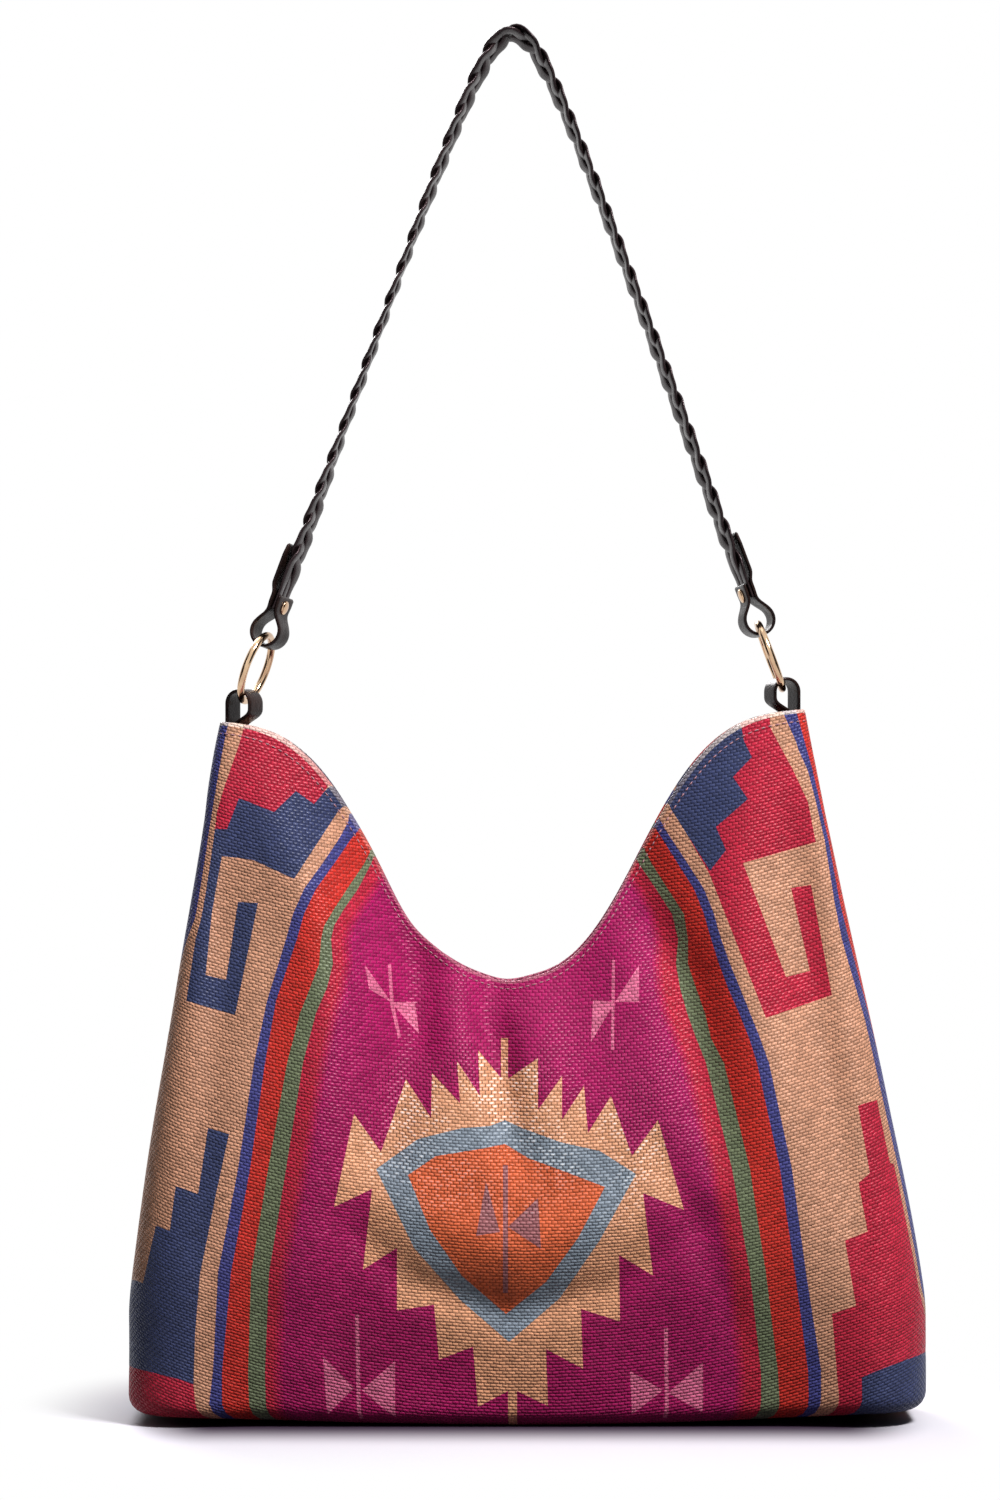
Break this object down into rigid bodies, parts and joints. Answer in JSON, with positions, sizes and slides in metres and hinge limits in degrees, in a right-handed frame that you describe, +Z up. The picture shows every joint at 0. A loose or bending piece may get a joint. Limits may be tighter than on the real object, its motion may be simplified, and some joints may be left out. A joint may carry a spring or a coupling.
{
  "type": "tote bag",
  "caption": "Soft woven tote bag with a deep scooped mouth, a flat base and a braided leather shoulder strap on metal rings.",
  "frame": {"origin": "on the floor under the middle of the base", "axes": "+X to the right seen from the front, +Y to the back, +Z up"},
  "size_m": [0.4, 0.114, 0.7017],
  "materials": {
    "woven_cloth": "coarse woven cloth in coloured stripes, steps and saw-toothed figures",
    "lining_cloth": "plain matt twill lining",
    "board": "matt stiffener board",
    "strap_leather": "dark brown glossy braided leather",
    "tab_leather": "dark brown smooth leather",
    "pale_gold": "polished pale gold plating"
  },
  "bodies": {
    "bag": {"front_panel": "woven_cloth", "back_panel": "woven_cloth", "facing_front": "woven_cloth", "facing_back": "woven_cloth", "lining_front": "lining_cloth", "lining_back": "lining_cloth", "slip_pocket": "lining_cloth", "base_board": "board", "snap_socket": "pale_gold", "snap_stud": "pale_gold", "snap_washer_front": "pale_gold", "snap_washer_back": "pale_gold", "tab_left": "tab_leather", "tab_right": "tab_leather"},
    "ring_left": {"ring_left": "pale_gold"},
    "ring_right": {"ring_right": "pale_gold"},
    "strap": {"strap_end_left": "strap_leather", "strap_end_right": "strap_leather", "rivet_left": "pale_gold", "rivet_right": "pale_gold", "strap_strand_1": "strap_leather", "strap_strand_2": "strap_leather", "strap_strand_3": "strap_leather"}
  },
  "joints": [
    {"name": "strap_swing", "type": "hinge", "parent": "bag", "child": "strap", "pos_m": [-0.13702, 0, 0.37789], "axis": [0.9997, 0, 0.0231], "range_deg": [-60, 60]},
    {"name": "ring_left_turn", "type": "hinge", "parent": "bag", "child": "ring_left", "pos_m": [-0.13702, 0, 0.37789], "axis": [0.9997, 0, 0.0231], "range_deg": [-30, 30]},
    {"name": "ring_right_turn", "type": "hinge", "parent": "bag", "child": "ring_right", "pos_m": [0.12302, 0, 0.38389], "axis": [0.9997, 0, 0.0231], "range_deg": [-30, 30]}
  ],
  "couplings": [
    {"joint": "ring_left_turn", "follows": "strap_swing", "ratio": 0.5},
    {"joint": "ring_right_turn", "follows": "strap_swing", "ratio": 0.5}
  ]
}
